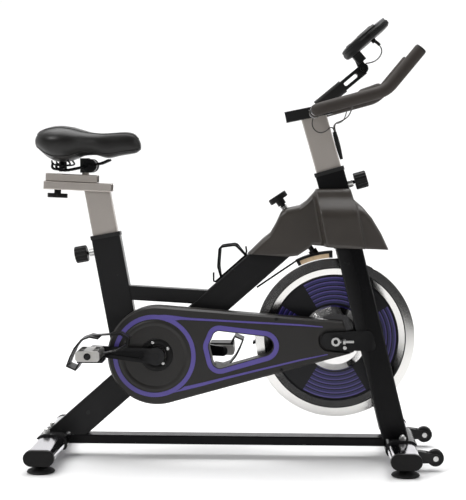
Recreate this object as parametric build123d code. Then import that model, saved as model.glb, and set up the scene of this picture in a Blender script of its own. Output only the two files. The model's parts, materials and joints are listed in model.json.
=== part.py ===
from build123d import *
import math
import os

# Indoor cycling bike. Millimetres. +X is forward, +Y is the rider's left, +Z is up,
# and the origin is on the floor below the middle of the bike.

# --- main layout in the side plane (x, z) ---
CRANK = (-218.0, 295.0)          # crank axis
CRANK_LENGTH = 171.0
CRANK_ANGLE = 5.0                # right arm points backward and is raised by this angle
WHEEL = (269.0, 336.0)           # flywheel axis
WHEEL_RADIUS = 220.0
BEAM_ANGLE = 41.5                # slope of the main beam, which passes through the crank axis
SEAT_TUBE_TILT = 10.4            # both posts lean back from vertical
HEAD_TUBE_TILT = 16.0
LEG_TILT = 13.9
SEAT_TUBE_TOP = (-365.8, 612.0)
HEAD_TUBE_TOP = (253.0, 790.0)
LEG_TOP = (304.6, 588.0)
PLATE_TOP = 68.0                 # upper face of the plates that clamp the stabilizers

# --- tube sections (depth in the side plane, width across the bike, wall) ---
POST_TUBE = (80.0, 40.0, 4.0)
BEAM_TUBE = (80.0, 40.0, 2.5)
TOP_TUBE = (40.0, 38.0, 2.0)
LEG_TUBE = (70.0, 30.0, 2.5)
BASE_TUBE = (25.0, 50.0, 2.0)
POST = (70.0, 30.0, 2.5)         # silver sliding posts
POST_GAP = 0.4                   # between a post and its collar

# --- stabilizers and feet ---
REAR_STABILIZER_X = -514.5
FRONT_STABILIZER_X = 449.5
STABILIZER_Z = 43.0
STABILIZER_SECTION = (80.0, 40.0)
HALF_WIDTH = 250.0
FOOT_Y = 212.0
FOOT_RADIUS = 37.5
TRANSPORT_WHEEL = (533.5, 35.0)
TRANSPORT_WHEEL_RADIUS = 22.5
TRANSPORT_WHEEL_Y = 150.0

# --- drive, in layers across the bike ---
BELT_Y = (-68.0, -50.0)
CRANK_PULLEY_RADIUS = 95.0
WHEEL_PULLEY_RADIUS = 32.0
GUARD_Y = (-90.0, -45.0)
GUARD_WALL = 3.0
LEG_Y = (47.0, 77.0)
ARM_Y = (97.0, 112.0)
PEDAL_Y = (121.0, 215.0)

# --- fits ---
RUN = 0.05                       # radial clearance of a shaft that turns or slides

PARTS = {}


# ------------------------------------------------------------------ helpers
def xz(point, y=0.0):
    return Vector(point[0], y, point[1])


def along(point, angle, distance):
    """The side-plane point at a distance from another; the angle is measured up from +X."""
    turn = math.radians(angle)
    return (point[0] + distance * math.cos(turn), point[1] + distance * math.sin(turn))


def side_plane(y):
    """A sketch plane whose x and y are the bike's X and Z."""
    return Plane(origin=(0, y, 0), x_dir=(1, 0, 0), z_dir=(0, -1, 0))


def slab(sketch, low, high):
    """A side-plane outline given thickness from y = low to y = high."""
    return extrude(side_plane(high) * sketch, amount=high - low)


def polygon(points):
    return make_face(Polyline(*[Vector(x, z) for x, z in points], close=True))


def hull(circles):
    """The convex outline round circles given as (x, z, radius)."""
    edges = [edge for x, z, r in circles for edge in (Pos(x, z) * Circle(r)).edges()]
    return make_hull(edges)


def disc(centre, radius, low, high, bore=0.0):
    shape = slab(Pos(*centre) * Circle(radius), low, high)
    if bore:
        shape -= slab(Pos(*centre) * Circle(bore), low - 1, high + 1)
    return shape


def rod(start, end, radius, bore=0.0):
    """A round bar between two points in space."""
    start, end = Vector(*start), Vector(*end)
    plane = Plane(origin=start, z_dir=(end - start).normalized())
    shape = extrude(plane * Circle(radius), amount=(end - start).length)
    if bore:
        shape -= extrude(plane * Circle(bore), amount=(end - start).length)
    return shape


def run_plane(start, angle):
    """A plane across a run: local x is across the bike, local y stays in the side plane."""
    turn = math.radians(angle)
    return Plane(origin=xz(start), x_dir=(0, 1, 0), z_dir=(math.cos(turn), 0, math.sin(turn)))


def bar(start, angle, length, section, y=0.0, corner=4.0):
    """A rectangular tube, open at both ends, that starts at a side-plane point."""
    depth, width, wall = section
    plane = run_plane(start, angle)
    shape = extrude(plane * Pos(y, 0) * RectangleRounded(width, depth, corner), amount=length)
    if wall:
        inside = RectangleRounded(width - 2 * wall, depth - 2 * wall, max(corner - wall, 0.8))
        shape -= extrude(plane * Pos(y, 0) * inside, amount=length)
    return shape


def beyond(point, angle):
    """Everything on the far side of a plane through a side-plane point."""
    turn = math.radians(angle)
    plane = Plane(origin=xz(point), x_dir=(0, 1, 0), z_dir=(math.cos(turn), 0, math.sin(turn)))
    return plane * Pos(0, 0, 1500) * Box(3000, 3000, 3000)


def block(low, high):
    size = [high[i] - low[i] for i in range(3)]
    middle = [(high[i] + low[i]) / 2 for i in range(3)]
    return Pos(*middle) * Box(*size)


def both_sides(shape):
    return shape + mirror(shape, about=Plane.XZ)


def turned(outline, centre):
    """A solid of revolution about an axis across the bike; the outline is (radius, y) pairs."""
    face = make_face(Polyline(*[Vector(centre[0] + r, y, centre[1]) for r, y in outline], close=True))
    return revolve(face, axis=Axis(xz(centre), (0, 1, 0)))


def wire(points, radii, radius):
    """A round wire along straight runs joined by arcs."""
    path = FilletPolyline(*[Vector(*p) for p in points], radius=radii)
    start = Plane(origin=path @ 0, z_dir=path % 0)
    return sweep(start * Circle(radius), path=path)


def cord(name, points, radius):
    """A cord whose arcs are as large as its runs allow."""
    corners = [Vector(*p) for p in points]
    radii = []
    for before, here, after in zip(corners, corners[1:], corners[2:]):
        turn = math.radians((here - before).get_angle(after - here))
        shorter = min((here - before).length, (after - here).length)
        radii.append(0.45 * shorter / math.tan(turn / 2))
    tube = wire(points, radii, radius)
    length = tube.volume / (math.pi * radius ** 2)
    print(name, "length", round(length), "radii", [round(r, 1) for r in radii])
    return tube


def add(name, shape):
    PARTS[name] = shape


# ------------------------------------------------------------------ welded frame
BEAM_DEPTH = BEAM_TUBE[0] / 2
beam_top_point = along(CRANK, BEAM_ANGLE + 90, BEAM_DEPTH)
seat_up = 90 + SEAT_TUBE_TILT
head_up = 90 + HEAD_TUBE_TILT
leg_down = LEG_TILT - 90
BRAKE_KNOB = (111.0, 722.5)
BRAKE_ANGLE = -56.7              # the brake rod runs forward and down
BRAKE_ROD_RADIUS = 7.0
BUSH_RADIUS = 11.0
SHELL_RADIUS = 30.0


def brake_point(distance):
    return xz(along(BRAKE_KNOB, BRAKE_ANGLE, distance))


def main_beam():
    tube = bar(along(CRANK, BEAM_ANGLE, -430), BEAM_ANGLE, 1080, BEAM_TUBE)
    tube -= beyond(along(HEAD_TUBE_TOP, head_up + 90, POST_TUBE[0] / 2), head_up - 90)
    tube -= block((-800, -100, -200), (1000, 100, PLATE_TOP - 7))
    tube -= block((-800, -100, -200), (REAR_STABILIZER_X + 46, 100, PLATE_TOP))
    tube -= disc(CRANK, SHELL_RADIUS, -50, 50)
    return tube - rod(brake_point(30), brake_point(170), BUSH_RADIUS)


def seat_tube():
    length = 420.0
    tube = bar(along(SEAT_TUBE_TOP, seat_up, -length), seat_up, length, POST_TUBE)
    tube -= beyond(beam_top_point, BEAM_ANGLE - 90)
    return tube - rod(pin_point(SEAT_PIN, -20), pin_point(SEAT_PIN, 20), PIN_RADIUS + RUN)


def top_tube():
    start = along(SEAT_TUBE_TOP, seat_up, -153)
    tube = bar(start, -3.2, 400, TOP_TUBE)
    tube -= beyond(along(SEAT_TUBE_TOP, seat_up - 90, POST_TUBE[0] / 2), seat_up + 90)
    return tube - beyond(beam_top_point, BEAM_ANGLE - 90)


CROWN_Z = (588.0, 614.0)


def head_tube():
    length = 240.0
    tube = bar(along(HEAD_TUBE_TOP, head_up, -length), head_up, length, POST_TUBE)
    tube -= block((0, -100, 300), (600, 100, CROWN_Z[1]))
    tube -= rod(pin_point(HANDLEBAR_PIN, -20), pin_point(HANDLEBAR_PIN, 20), PIN_RADIUS + RUN)
    crown = block((LEG_TOP[0] - 42, -LEG_Y[1] - 4, CROWN_Z[0]), (LEG_TOP[0] + 40, LEG_Y[1] + 4, CROWN_Z[1]))
    crown = fillet(crown.edges().filter_by(Axis.Z), 8)
    return tube + crown


AXLE_RADIUS = 7.5
AXLE_END_RADIUS = 6.0
TENSIONER_Y = -91.0              # line of the right chain tensioner, just outside the dropout
DROPOUT_Y = (77.0, 83.0)


def fork_leg():
    """The right leg with its dropout plate, which carries the flywheel axle."""
    middle = -(LEG_Y[0] + LEG_Y[1]) / 2
    leg = bar(along(LEG_TOP, leg_down, -60), leg_down, 680, LEG_TUBE, y=middle)
    leg -= block((0, -200, CROWN_Z[0]), (700, 200, 900))
    leg -= block((0, -200, -200), (700, 200, PLATE_TOP))
    outline = hull([(250, 340, 20), (WHEEL[0], WHEEL[1], 24), (356, 352, 14), (364, 324, 14)])
    plate = slab(outline, -DROPOUT_Y[1], -DROPOUT_Y[0])
    plate -= disc(WHEEL, AXLE_RADIUS, -DROPOUT_Y[1] - 1, -DROPOUT_Y[0] + 1)
    lug = block((284, TENSIONER_Y - 6, WHEEL[1] - 8), (289, -DROPOUT_Y[1], WHEEL[1] + 8))
    lug -= rod((280, TENSIONER_Y, WHEEL[1]), (295, TENSIONER_Y, WHEEL[1]), 3.5)
    return leg + plate + lug


def stabilizer_outline(x, grow=0.0):
    width, height = STABILIZER_SECTION
    return Pos(x, STABILIZER_Z) * SlotOverall(width + 2 * grow, height + 2 * grow)


def base_beam():
    """The low beam with the saddle plates that rest on the stabilizers."""
    start = (REAR_STABILIZER_X + 30, PLATE_TOP - 7 - BASE_TUBE[0] / 2)
    length = FRONT_STABILIZER_X - 30 - start[0]
    beam = bar(start, 0, length, BASE_TUBE, corner=3)
    for x, facing, half in ((REAR_STABILIZER_X, 1, 62), (FRONT_STABILIZER_X, -1, 97)):
        plate = slab(stabilizer_outline(x, 5.0), -half, half)
        plate -= block((x - 100, -200, 0), (x + 100, 200, 26))
        shell_side = sorted((x - facing * 22, x - facing * 100))
        plate -= block((shell_side[0], -200, 0), (shell_side[1], 200, 55))
        beam += plate
    for x in (REAR_STABILIZER_X, FRONT_STABILIZER_X):
        beam -= slab(stabilizer_outline(x), -300, 300)
    for x, y in PLATE_BOLTS:
        beam -= rod((x, y, 50), (x, y, 80), 5)
    return beam


PLATE_BOLTS = ((REAR_STABILIZER_X - 16, -46.0), (REAR_STABILIZER_X - 16, 46.0),
               (FRONT_STABILIZER_X + 2, -88.0), (FRONT_STABILIZER_X + 2, 88.0))


def stabilizer(x):
    end = HALF_WIDTH - 4
    tube = slab(stabilizer_outline(x), -end, end) - slab(stabilizer_outline(x, -2.0), -end, end)
    for y in (-FOOT_Y, FOOT_Y):
        tube -= rod((x, y, 15), (x, y, 35), 5 + RUN)
    for bolt_x, y in PLATE_BOLTS:
        if abs(bolt_x - x) < 50:
            tube -= rod((bolt_x, y, 50), (bolt_x, y, 70), 5)
    return tube


def wheel_brackets():
    """Two forks on the front of the stabilizer that carry the transport wheels."""
    x, z = TRANSPORT_WHEEL
    inside = FRONT_STABILIZER_X + 30
    shape = None
    for middle in (-TRANSPORT_WHEEL_Y, TRANSPORT_WHEEL_Y):
        fork = slab(hull([(x, z, 12), (inside, 26, 5), (inside, 50, 5)]), middle - 13, middle + 13)
        room = TRANSPORT_WHEEL_RADIUS + 2
        fork -= block((x - room, middle - 10, 0), (x + 40, middle + 10, 100))
        fork -= disc(TRANSPORT_WHEEL, 4, middle - 20, middle + 20)
        fork -= slab(stabilizer_outline(FRONT_STABILIZER_X), middle - 40, middle + 40)
        shape = fork if shape is None else shape + fork
    return shape


def end_cap(x, side):
    cap = slab(stabilizer_outline(x, 1.5), HALF_WIDTH - 14, HALF_WIDTH)
    cap = fillet(cap.faces().sort_by(Axis.Y)[-1].edges(), 2.5)
    cap -= slab(stabilizer_outline(x, 0.0), HALF_WIDTH - 20, HALF_WIDTH - 4)
    return cap if side > 0 else mirror(cap, about=Plane.XZ)


def collar(top, angle):
    ring = bar(top, angle, 11, (POST_TUBE[0] + 4, POST_TUBE[1] + 4, 0), corner=6)
    gap = 2 * POST_GAP
    return ring - bar(along(top, angle, -1), angle, 13, (POST[0] + gap, POST[1] + gap, 0), corner=4)


def plastic_caps():
    """Four stabilizer end caps and the two collars that guide the posts."""
    caps = [end_cap(x, side) for x in (REAR_STABILIZER_X, FRONT_STABILIZER_X) for side in (-1, 1)]
    return Compound(children=caps + [collar(SEAT_TUBE_TOP, seat_up), collar(HEAD_TUBE_TOP, head_up)])


def bottom_bracket():
    """The bracket shell and the two ball bearings pressed into it."""
    shell = disc(CRANK, SHELL_RADIUS, -36, 60, bore=21)
    races = [disc(CRANK, 21, low, low + 12, bore=10 + RUN) for low in (-34, 46)]
    return Compound(children=[shell] + races)


# ------------------------------------------------------------------ pull pins
PIN_RADIUS = 5.0


def pin_point(pin, distance):
    return xz(along(pin[0], pin[1], distance))


def on_face(top, up_angle, outward, pin_z):
    """The point of a tube's face where a pin enters, at a given height."""
    edge = along(top, outward, POST_TUBE[0] / 2)
    slope = math.radians(up_angle)
    return along(edge, up_angle, (pin_z - edge[1]) / math.sin(slope))


SEAT_PIN = (on_face(SEAT_TUBE_TOP, seat_up, seat_up + 90, 572.0), seat_up + 90)
HANDLEBAR_PIN = (on_face(HEAD_TUBE_TOP, head_up, head_up - 90, 762.0), head_up - 90)


def pull_pin(pin):
    """A plunger with a fluted knob; its tip stops just short of the post."""
    plunger = rod(pin_point(pin, -4.4), pin_point(pin, 24), PIN_RADIUS)
    knob = rod(pin_point(pin, 20), pin_point(pin, 54), 23)
    knob = fillet(knob.edges(), 3)
    plane = Plane(origin=pin_point(pin, 18), x_dir=(0, 1, 0), z_dir=pin_point(pin, 1) - pin_point(pin, 0))
    for step in range(10):
        flute = plane * Rot(0, 0, step * 36) * Pos(25.5, 0, 0) * Cylinder(5, 100)
        knob -= flute
    return plunger + knob


def pin_bush(pin):
    bush = rod(pin_point(pin, 0), pin_point(pin, 14), 12, bore=PIN_RADIUS + RUN)
    return bush - rod(pin_point(pin, 2), pin_point(pin, 11), 9)


def bushes():
    """The two threaded pin bushes and the sleeve that guides the brake rod through the beam."""
    guide = rod(brake_point(44), brake_point(152), BUSH_RADIUS, bore=BRAKE_ROD_RADIUS + RUN)
    return Compound(children=[pin_bush(SEAT_PIN), pin_bush(HANDLEBAR_PIN), guide])


def coil(start, end, radius, wire_radius, turns):
    start, end = Vector(*start), Vector(*end)
    length = (end - start).length
    path = Helix(pitch=length / turns, height=length, radius=radius)
    section = Plane(origin=path @ 0, z_dir=path % 0) * Circle(wire_radius)
    spring = sweep(section, path=path, is_frenet=True)
    return Plane(origin=start, z_dir=(end - start).normalized()) * spring


def springs():
    """Return springs of the two pins and of the brake rod."""
    pins = [coil(pin_point(pin, 3.2), pin_point(pin, 9.8), 7.0, 0.7, 4) for pin in (SEAT_PIN, HANDLEBAR_PIN)]
    return Compound(children=pins + [coil(brake_point(26), brake_point(42), 9.0, 1.1, 4)])


# ------------------------------------------------------------------ emergency brake
PAD_ANGLE = 14.3                 # place of the pad on the rim, back from the top
PAD_GAP = 2.6                    # felt to rim at rest; the rod presses it down


def brake_rod():
    """The rod with the tension knob on its upper end."""
    knob = rod(brake_point(-8), brake_point(8), 27)
    knob = fillet(knob.edges(), 3)
    neck = rod(brake_point(8), brake_point(22), 12)
    return knob + neck + rod(brake_point(22), brake_point(172), BRAKE_ROD_RADIUS)


def brake_pad():
    """The pad holder, its felt and the thin locating arm."""
    ring = Pos(*WHEEL) * Circle(WHEEL_RADIUS + PAD_GAP + 19) - Pos(*WHEEL) * Circle(WHEEL_RADIUS + PAD_GAP)
    wedge = polygon([WHEEL, along(WHEEL, 92 + PAD_ANGLE + 10.5, 300),
                     along(WHEEL, 88 + PAD_ANGLE - 10.5, 300)])
    pad = slab(ring & wedge, -13, 13)
    seat = rod(brake_point(172), brake_point(200), 12) & slab(wedge, -30, 30)
    seat -= disc(WHEEL, WHEEL_RADIUS + PAD_GAP + 8, -30, 30)
    arm_start = along(WHEEL, 92 + PAD_ANGLE + 8, WHEEL_RADIUS + PAD_GAP + 17)
    arm_end = along(CRANK, BEAM_ANGLE, 322)
    arm_end = along(arm_end, BEAM_ANGLE - 90, BEAM_DEPTH + 5)
    arm = rod(xz(arm_start), xz(arm_end), 2.5)
    return pad + seat + arm


# ------------------------------------------------------------------ drive
AXLE_REACH = 97.0


def crank_axle():
    return rod(xz(CRANK, -114), xz(CRANK, 114), 10)


def crank_pulley():
    low, high = BELT_Y
    middle = (low + high) / 2
    pulley = disc(CRANK, CRANK_PULLEY_RADIUS, low, high)
    pulley -= disc(CRANK, CRANK_PULLEY_RADIUS - 8, low - 1, high + 1)
    pulley += disc(CRANK, CRANK_PULLEY_RADIUS - 7, middle - 2.5, middle + 2.5)
    pulley += disc(CRANK, 20, low, high + 4)
    pulley -= disc(CRANK, 10, low - 5, high + 10)
    for step in range(6):
        pulley -= disc(along(CRANK, 60 * step, 52), 16, low, high)
    return pulley


def crank_arm():
    """The right arm with the pedal spindle screwed into its end."""
    end = along(CRANK, 180 - CRANK_ANGLE, CRANK_LENGTH)
    arm = slab(hull([(CRANK[0], CRANK[1], 21), (end[0], end[1], 14)]), -ARM_Y[1], -ARM_Y[0])
    arm += disc(CRANK, 24, -ARM_Y[1], -ARM_Y[0] + 4)
    arm = arm - disc(CRANK, 10, -200, 0)
    groove = hull([(*along(CRANK, 180 - CRANK_ANGLE, 40), 8), (*along(CRANK, 180 - CRANK_ANGLE, 142), 5)])
    arm -= slab(groove, -ARM_Y[1] - 1, -ARM_Y[1] + 3)
    return arm + rod(xz(end, -ARM_Y[1] + 1), xz(end, -PEDAL_Y[1] + 6), 7)


def half_turn(shape):
    """The opposite crank arm or pedal: mirrored across the bike and turned by half a turn."""
    return Pos(*xz(CRANK)) * Rot(0, 180, 0) * Pos(*-xz(CRANK)) * mirror(shape, about=Plane.XZ)


PEDAL_CENTRE = along(CRANK, 180 - CRANK_ANGLE, CRANK_LENGTH)
PEDAL_LENGTH = 64.0
PEDAL_HEIGHT = 28.0


def pedal():
    """A platform pedal body with side plates and open bays."""
    x, z = PEDAL_CENTRE
    low, high = -PEDAL_Y[1], -PEDAL_Y[0]
    half, tall = PEDAL_LENGTH / 2, PEDAL_HEIGHT / 2
    body = block((x - half, low, z - tall), (x + half, high, z + tall))
    body = chamfer(body.edges().filter_by(Axis.Y), 5)
    for near, far in ((low + 12, -178), (-170, high - 12)):
        for sign in (-1, 1):
            bay = sorted((x + sign * 12, x + sign * (half - 6)))
            body -= block((bay[0], near, z - 50), (bay[1], far, z + 50))
    body = body - disc(PEDAL_CENTRE, 7 + RUN, low + 5.5, 0)
    return body


CAGE_Y = (-202.0, -134.0)


def toe_cage():
    """The plastic cage and strap round the toe, in front of the pedal body."""
    x, z = PEDAL_CENTRE
    half, tall = PEDAL_LENGTH / 2, PEDAL_HEIGHT / 2
    route = [(x + 26, z + 46), (x + 4, z + 50), (x - 18, z + 42), (x - 36, z + 20),
             (x - 48, z - 4), (x - 57, z - 28), (x - 34, z - 38), (x - 22, z - tall - 3)]
    shape = None
    for (x0, z0), (x1, z1) in zip(route, route[1:]):
        strip = slab(hull([(x0, z0, 2.2), (x1, z1, 2.2)]), *CAGE_Y)
        shape = strip if shape is None else shape + strip
    for low in (CAGE_Y[0] + 14, CAGE_Y[0] + 40):
        shape -= block((x - 100, low, z - 20), (x - 36, low + 16, z + 34))
    foot = block((x - 30, CAGE_Y[0], z - tall - 5.2), (x + 38, CAGE_Y[1], z - tall))
    strap = polygon([(x + 2, z + 48.6), (x + 55, z + 52.6), (x + 83.4, z + 53.6), (x + 99.6, z + 43.4),
                     (x + 97.8, z + 27.8), (x + 69.2, z + 11.4), (x + half + 0.5, z + 3),
                     (x + half + 0.5, z), (x + 70.4, z + 8.6), (x + 100.4, z + 26), (x + 102.6, z + 44.8),
                     (x + 84.4, z + 56.4), (x + 54, z + 55.4), (x + 2, z + 51.4)])
    shape += slab(strap, CAGE_Y[0] + 20, CAGE_Y[1] - 20)
    return shape + foot


def belt_outline(extra):
    return hull([(*CRANK, CRANK_PULLEY_RADIUS + extra), (*WHEEL, WHEEL_PULLEY_RADIUS + extra)])


def drive_belt():
    return slab(belt_outline(3.4) - belt_outline(0.4), BELT_Y[0] + 1, BELT_Y[1] - 1)


def flywheel():
    profile = [(22, -12), (60, -12), (60, -6), (170, -6), (180, -9), (182, -13), (194, -10), (197, -10),
               (199, -14), (219, -14), (220, -13)]
    profile += [(r, -y) for r, y in reversed(profile)]
    return turned(profile, WHEEL)


def flywheel_hub():
    """The bearing sleeve with its polished dish on the right and a plain flange on the left."""
    profile = [(17.5, -50), (22, -50), (22, -41), (34, -40), (70, -34), (88, -20), (92, -13), (92, -10),
               (84, -13), (66, -29), (33, -36), (22, -37), (22, 12), (60, 12), (60, 16), (26, 20),
               (22, 30), (17.5, 30)]
    return turned(profile, WHEEL)


def flywheel_pulley():
    low, high = BELT_Y
    wheel = disc(WHEEL, WHEEL_PULLEY_RADIUS, low + 0.6, high, bore=12)
    return wheel + disc(WHEEL, WHEEL_PULLEY_RADIUS + 3.0, low - 1, low + 0.6, bore=12)


def flywheel_axle():
    """The fixed axle with its two ball bearings."""
    axle = rod(xz(WHEEL, -DROPOUT_Y[1]), xz(WHEEL, DROPOUT_Y[1]), AXLE_RADIUS)
    axle += rod(xz(WHEEL, -AXLE_REACH), xz(WHEEL, AXLE_REACH), AXLE_END_RADIUS)
    races = [disc(WHEEL, 17.5 - RUN, low, low + 11, bore=AXLE_RADIUS) for low in (-49, 18)]
    return Compound(children=[axle] + races)


def hexagon(radius):
    return RegularPolygon(radius, 6)


def tensioner():
    """An eye bolt round the axle end, its shank through the lug and its nut."""
    y = TENSIONER_Y
    eye = disc(WHEEL, 12, y - 3.5, y + 3.5, bore=AXLE_END_RADIUS)
    bolt = eye + rod((WHEEL[0] + 11, y, WHEEL[1]), (318, y, WHEEL[1]), 3.5)
    plane = Plane(origin=(289, y, WHEEL[1]), x_dir=(0, 0, 1), z_dir=(1, 0, 0))
    nut = extrude(plane * (hexagon(7.5) - Circle(3.5)), amount=7)
    return [bolt, nut]


def belt_tensioners():
    right = tensioner()
    return Compound(children=right + [mirror(piece, about=Plane.XZ) for piece in right])


def acorn_nut(x, y, z):
    nut = extrude(Plane.XY.offset(z) * Pos(x, y) * hexagon(9.5), amount=8)
    dome = Pos(x, y, z + 8) * Sphere(7.4)
    nut += dome - block((x - 20, y - 20, z - 20), (x + 20, y + 20, z + 8))
    return nut + rod((x, y, z - 12), (x, y, z + 2), 5)


def frame_bolts():
    """Acorn bolts of the saddle plates, transport wheel bolts and dropout screws."""
    pieces = [acorn_nut(x, y, PLATE_TOP) for x, y in PLATE_BOLTS]
    for side in (-1, 1):
        y = side * TRANSPORT_WHEEL_Y
        bolt = disc(TRANSPORT_WHEEL, 4 - RUN, y - 17, y + 17)
        bolt += disc(TRANSPORT_WHEEL, 7, y - 18, y - 13) + disc(TRANSPORT_WHEEL, 7, y + 13, y + 18)
        pieces.append(bolt)
        screw = disc((294.0, 319.0), 5, -88, -DROPOUT_Y[1])
        pieces.append(screw if side < 0 else mirror(screw, about=Plane.XZ))
    return Compound(children=pieces)


# ------------------------------------------------------------------ belt guard
WINDOW = [(-47, 345, 18), (-45, 283, 21), (-52, 320, 23), (74, 323, 26)]
GUARD_END = [(285, 385, 6), (314, 311, 6)]


def guard_outline(inset=0.0):
    return hull([(*CRANK, 135 - inset)] + [(x, z, r - inset) for x, z, r in GUARD_END])


def window_outline(grow=0.0):
    return hull([(x, z, r + grow) for x, z, r in WINDOW])


def guard_outer():
    """The moulded outer shell, with the window through it and a pocket round the dropout."""
    low, high = GUARD_Y
    shell = slab(guard_outline(), low, high)
    shell = chamfer(shell.faces().sort_by(Axis.Y)[0].edges(), 6, 5)
    inside = guard_outline(GUARD_WALL)
    cavity = slab(inside, low + GUARD_WALL, high + 1) - block((226, -200, 200), (400, 0, 400))
    cavity += slab(inside, -71, high + 1)
    cavity -= slab(window_outline(GUARD_WALL), low, high + 5)
    shell -= cavity
    pocket = hull([(254, 340, 32), (340, 376, 1), (340, 302, 1)])
    shell -= slab(pocket, low - 1, -74)
    shell -= slab(window_outline(), low - 1, high + 5)
    shell -= disc(WHEEL, 16, -80, -60)
    return shell - disc(CRANK, 26, low - 1, high)


def guard_inner():
    """The flat back cover, with clearance for the bracket and the flywheel hub."""
    plate = slab(guard_outline(), GUARD_Y[1], GUARD_Y[1] + GUARD_WALL)
    plate -= slab(window_outline(), -60, -30)
    return plate - disc(CRANK, 24, -60, -30) - disc(WHEEL, 30, -60, -30)


# ------------------------------------------------------------------ head cover
COVER_REAR = [(28, 571), (68, 610), (90, 628), (104, 652), (119, 684), (133, 695), (171, 703), (190, 717),
              (212, 738), (240, 700), (240, 596), (204, 596), (196, 586), (166, 566), (137, 562)]
COVER_FRONT = [(190, 717), (212, 738), (212, 749), (309, 749), (318, 719), (341, 700), (366, 670),
               (392, 627), (411, 585), (267, 590), (204, 596)]


def cover_shell(outline, half_width):
    """A moulded cover, open underneath, with room for the head tube, the beam, the legs and the brake rod."""
    cover = slab(polygon(outline), -half_width, half_width)
    inside = slab(offset(polygon(outline), -3), 3 - half_width, half_width - 3)
    cover -= inside + Pos(0, 0, -8) * inside
    cover -= bar(along(HEAD_TUBE_TOP, head_up, -240), head_up, 300, (81, 41, 0))
    cover -= bar(along(CRANK, BEAM_ANGLE, 200), BEAM_ANGLE, 500, (81, 41, 0))
    cover -= block((LEG_TOP[0] - 43, -LEG_Y[1] - 5, 560), (LEG_TOP[0] + 41, LEG_Y[1] + 5, CROWN_Z[1] + 1))
    cover -= rod(brake_point(10), brake_point(190), 15)
    return cover


def largest(shape):
    """The biggest of a shape's solids."""
    return max(shape.solids(), key=lambda solid: solid.volume)


def shroud():
    """The wide cover over the fork crown and the lower end of the head tube."""
    return largest(cover_shell(COVER_FRONT, 86))


def shroud_rear():
    """The narrow cover over the top of the main beam, which butts against the wide one."""
    return largest(cover_shell(COVER_REAR, 38) - slab(offset(polygon(COVER_FRONT), 0.2), -90, 90))


# ------------------------------------------------------------------ bottle cage
def bottle_cage():
    """A wire cage on a strip that is screwed to the upper face of the beam."""
    foot = along(CRANK, BEAM_ANGLE, 247)
    base_start = along(foot, BEAM_ANGLE + 90, BEAM_DEPTH + 2.5)
    strip = bar(base_start, BEAM_ANGLE, 116, (5, 18, 0), corner=1.5)
    wire_line = along(base_start, BEAM_ANGLE + 90, 1)
    low = xz(along(wire_line, BEAM_ANGLE, 20))
    high = xz(along(wire_line, BEAM_ANGLE, 111))
    shape = strip
    for side in (-1, 1):
        points = [low + Vector(0, 6 * side, 0), Vector(low.X - 6, 36 * side, low.Z + 30),
                  Vector(low.X - 2, 38 * side, low.Z + 84), Vector(low.X + 42, 34 * side, low.Z + 90),
                  high + Vector(0, 6 * side, 0)]
        shape += wire(points, [14, 12, 14], 3)
    hook = [xz(along(base_start, BEAM_ANGLE, 8)), xz(along(base_start, BEAM_ANGLE, -8)),
            xz(along(base_start, BEAM_ANGLE + 62, 26))]
    shape += wire(hook, [4], 2.5)
    tip = [high, high + Vector(3, 0, 10), high + Vector(1, 0, 24)]
    return shape + wire(tip, [3], 2.5)


# ------------------------------------------------------------------ seat
CHANNEL_ANGLE = -2.6
CHANNEL_REAR = (-536.0, 758.5)   # middle of the rear end face
CHANNEL_SECTION = (23.0, 50.0, 3.0)
CHANNEL_LENGTH = 187.0
SLIDER_SECTION = (21.0, 40.0, 2.5)
SLIDER_LENGTH = 143.0
channel_up = CHANNEL_ANGLE + 90
SADDLE_PIVOT = (-407.0, 811.0)
KNOB_X = -500.5


def channel_point(forward, above):
    """A point measured along the channel from its rear end and above its middle."""
    return along(along(CHANNEL_REAR, CHANNEL_ANGLE, forward), channel_up, above)


def seat_post():
    start = along(SEAT_TUBE_TOP, seat_up, -196)
    post = bar(start, seat_up, 400, POST)
    post -= beyond(channel_point(0, -CHANNEL_SECTION[0] / 2), channel_up)
    for step in range(9):
        hole = along(SEAT_PIN[0], seat_up, -100 + 25 * step)
        post -= rod(xz(along(hole, SEAT_PIN[1], 0)), xz(along(hole, SEAT_PIN[1], -15)), PIN_RADIUS + 0.5)
    return post


def seat_channel():
    """The horizontal channel welded to the post, slotted for the clamp bolt."""
    channel = bar(CHANNEL_REAR, CHANNEL_ANGLE, CHANNEL_LENGTH, CHANNEL_SECTION, corner=3)
    slot_start = xz(channel_point(20, -20))
    plane = Plane(origin=slot_start, x_dir=(0, 1, 0), z_dir=xz(channel_point(0, 1)) - xz(channel_point(0, 0)))
    return channel - extrude(plane * Pos(0, -33) * Rot(0, 0, 90) * SlotOverall(78, 11), amount=60)


def seat_slider():
    """The carriage on the channel with the stub that carries the saddle clamp."""
    middle = (CHANNEL_SECTION[0] + SLIDER_SECTION[0]) / 2 + 0.3
    carriage = bar(channel_point(4, middle), CHANNEL_ANGLE, SLIDER_LENGTH, SLIDER_SECTION, corner=3)
    stub = rod((-423, 0, 780), (-423, 0, 812), 10)
    stub -= bar(channel_point(4, middle), CHANNEL_ANGLE, SLIDER_LENGTH, (SLIDER_SECTION[0] - 2, 40, 0))
    carriage += stub
    base = channel_point(KNOB_X - CHANNEL_REAR[0], 0)
    return carriage - rod(xz(base), xz(along(base, channel_up, 20)), 4 + RUN)


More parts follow.
